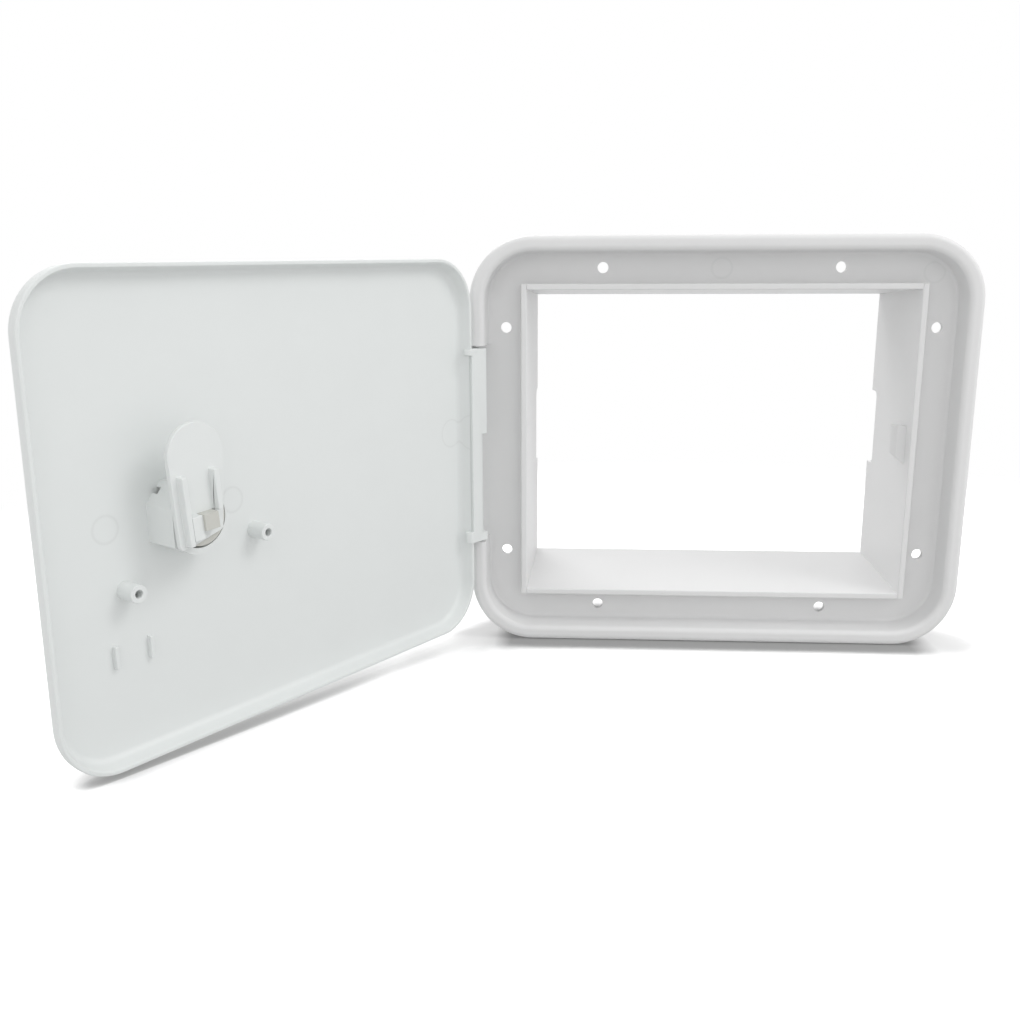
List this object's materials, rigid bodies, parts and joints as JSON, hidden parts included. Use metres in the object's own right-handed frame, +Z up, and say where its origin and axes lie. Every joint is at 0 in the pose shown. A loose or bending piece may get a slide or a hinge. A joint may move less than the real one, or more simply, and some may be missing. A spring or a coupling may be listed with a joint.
{
  "type": "access hatch",
  "caption": "Rectangular moulded access hatch for a caravan wall: flanged frame with a deep collar and a side-hinged door with a quarter-turn latch.",
  "frame": {"origin": "centre of the opening, on the flange's flat back face that lies on the wall", "axes": "+X to the right seen from outside, +Y into the wall, square to the flange, +Z up"},
  "size_m": [0.3364, 0.2366, 0.183],
  "materials": {
    "white_abs": "satin moulded white",
    "spindle_acetal": "plain moulded cream"
  },
  "bodies": {
    "frame": {"rim": "white_abs", "flange": "white_abs", "collar_top": "white_abs", "collar_bottom": "white_abs", "collar_left": "white_abs", "collar_right": "white_abs", "keeper": "white_abs", "hinge_seat": "white_abs", "hinge_lug_upper": "white_abs", "hinge_lug_lower": "white_abs", "hinge_pin": "white_abs"},
    "door": {"door_panel": "white_abs", "door_rim": "white_abs", "hinge_block": "white_abs", "hinge_arm_upper": "white_abs", "hinge_arm_lower": "white_abs", "boss_inner": "white_abs", "boss_outer": "white_abs", "locating_rib_a": "white_abs", "locating_rib_b": "white_abs", "latch_housing": "white_abs", "latch_bezel": "white_abs"},
    "latch": {"latch_tongue": "white_abs", "latch_spindle": "spindle_acetal", "latch_clip": "white_abs", "turn_knob": "white_abs"}
  },
  "joints": [
    {"name": "door_hinge", "type": "hinge", "parent": "frame", "child": "door", "pos_m": [-0.10935, -0.0107, 0], "axis": [0, 0, -1], "range_deg": [-123.7, 46]},
    {"name": "latch_turn", "type": "hinge", "parent": "door", "child": "latch", "pos_m": [-0.19792, -0.14377, -0.0005], "axis": [0.832, -0.5548, 0], "range_deg": [-4.5, 85.5]}
  ]
}
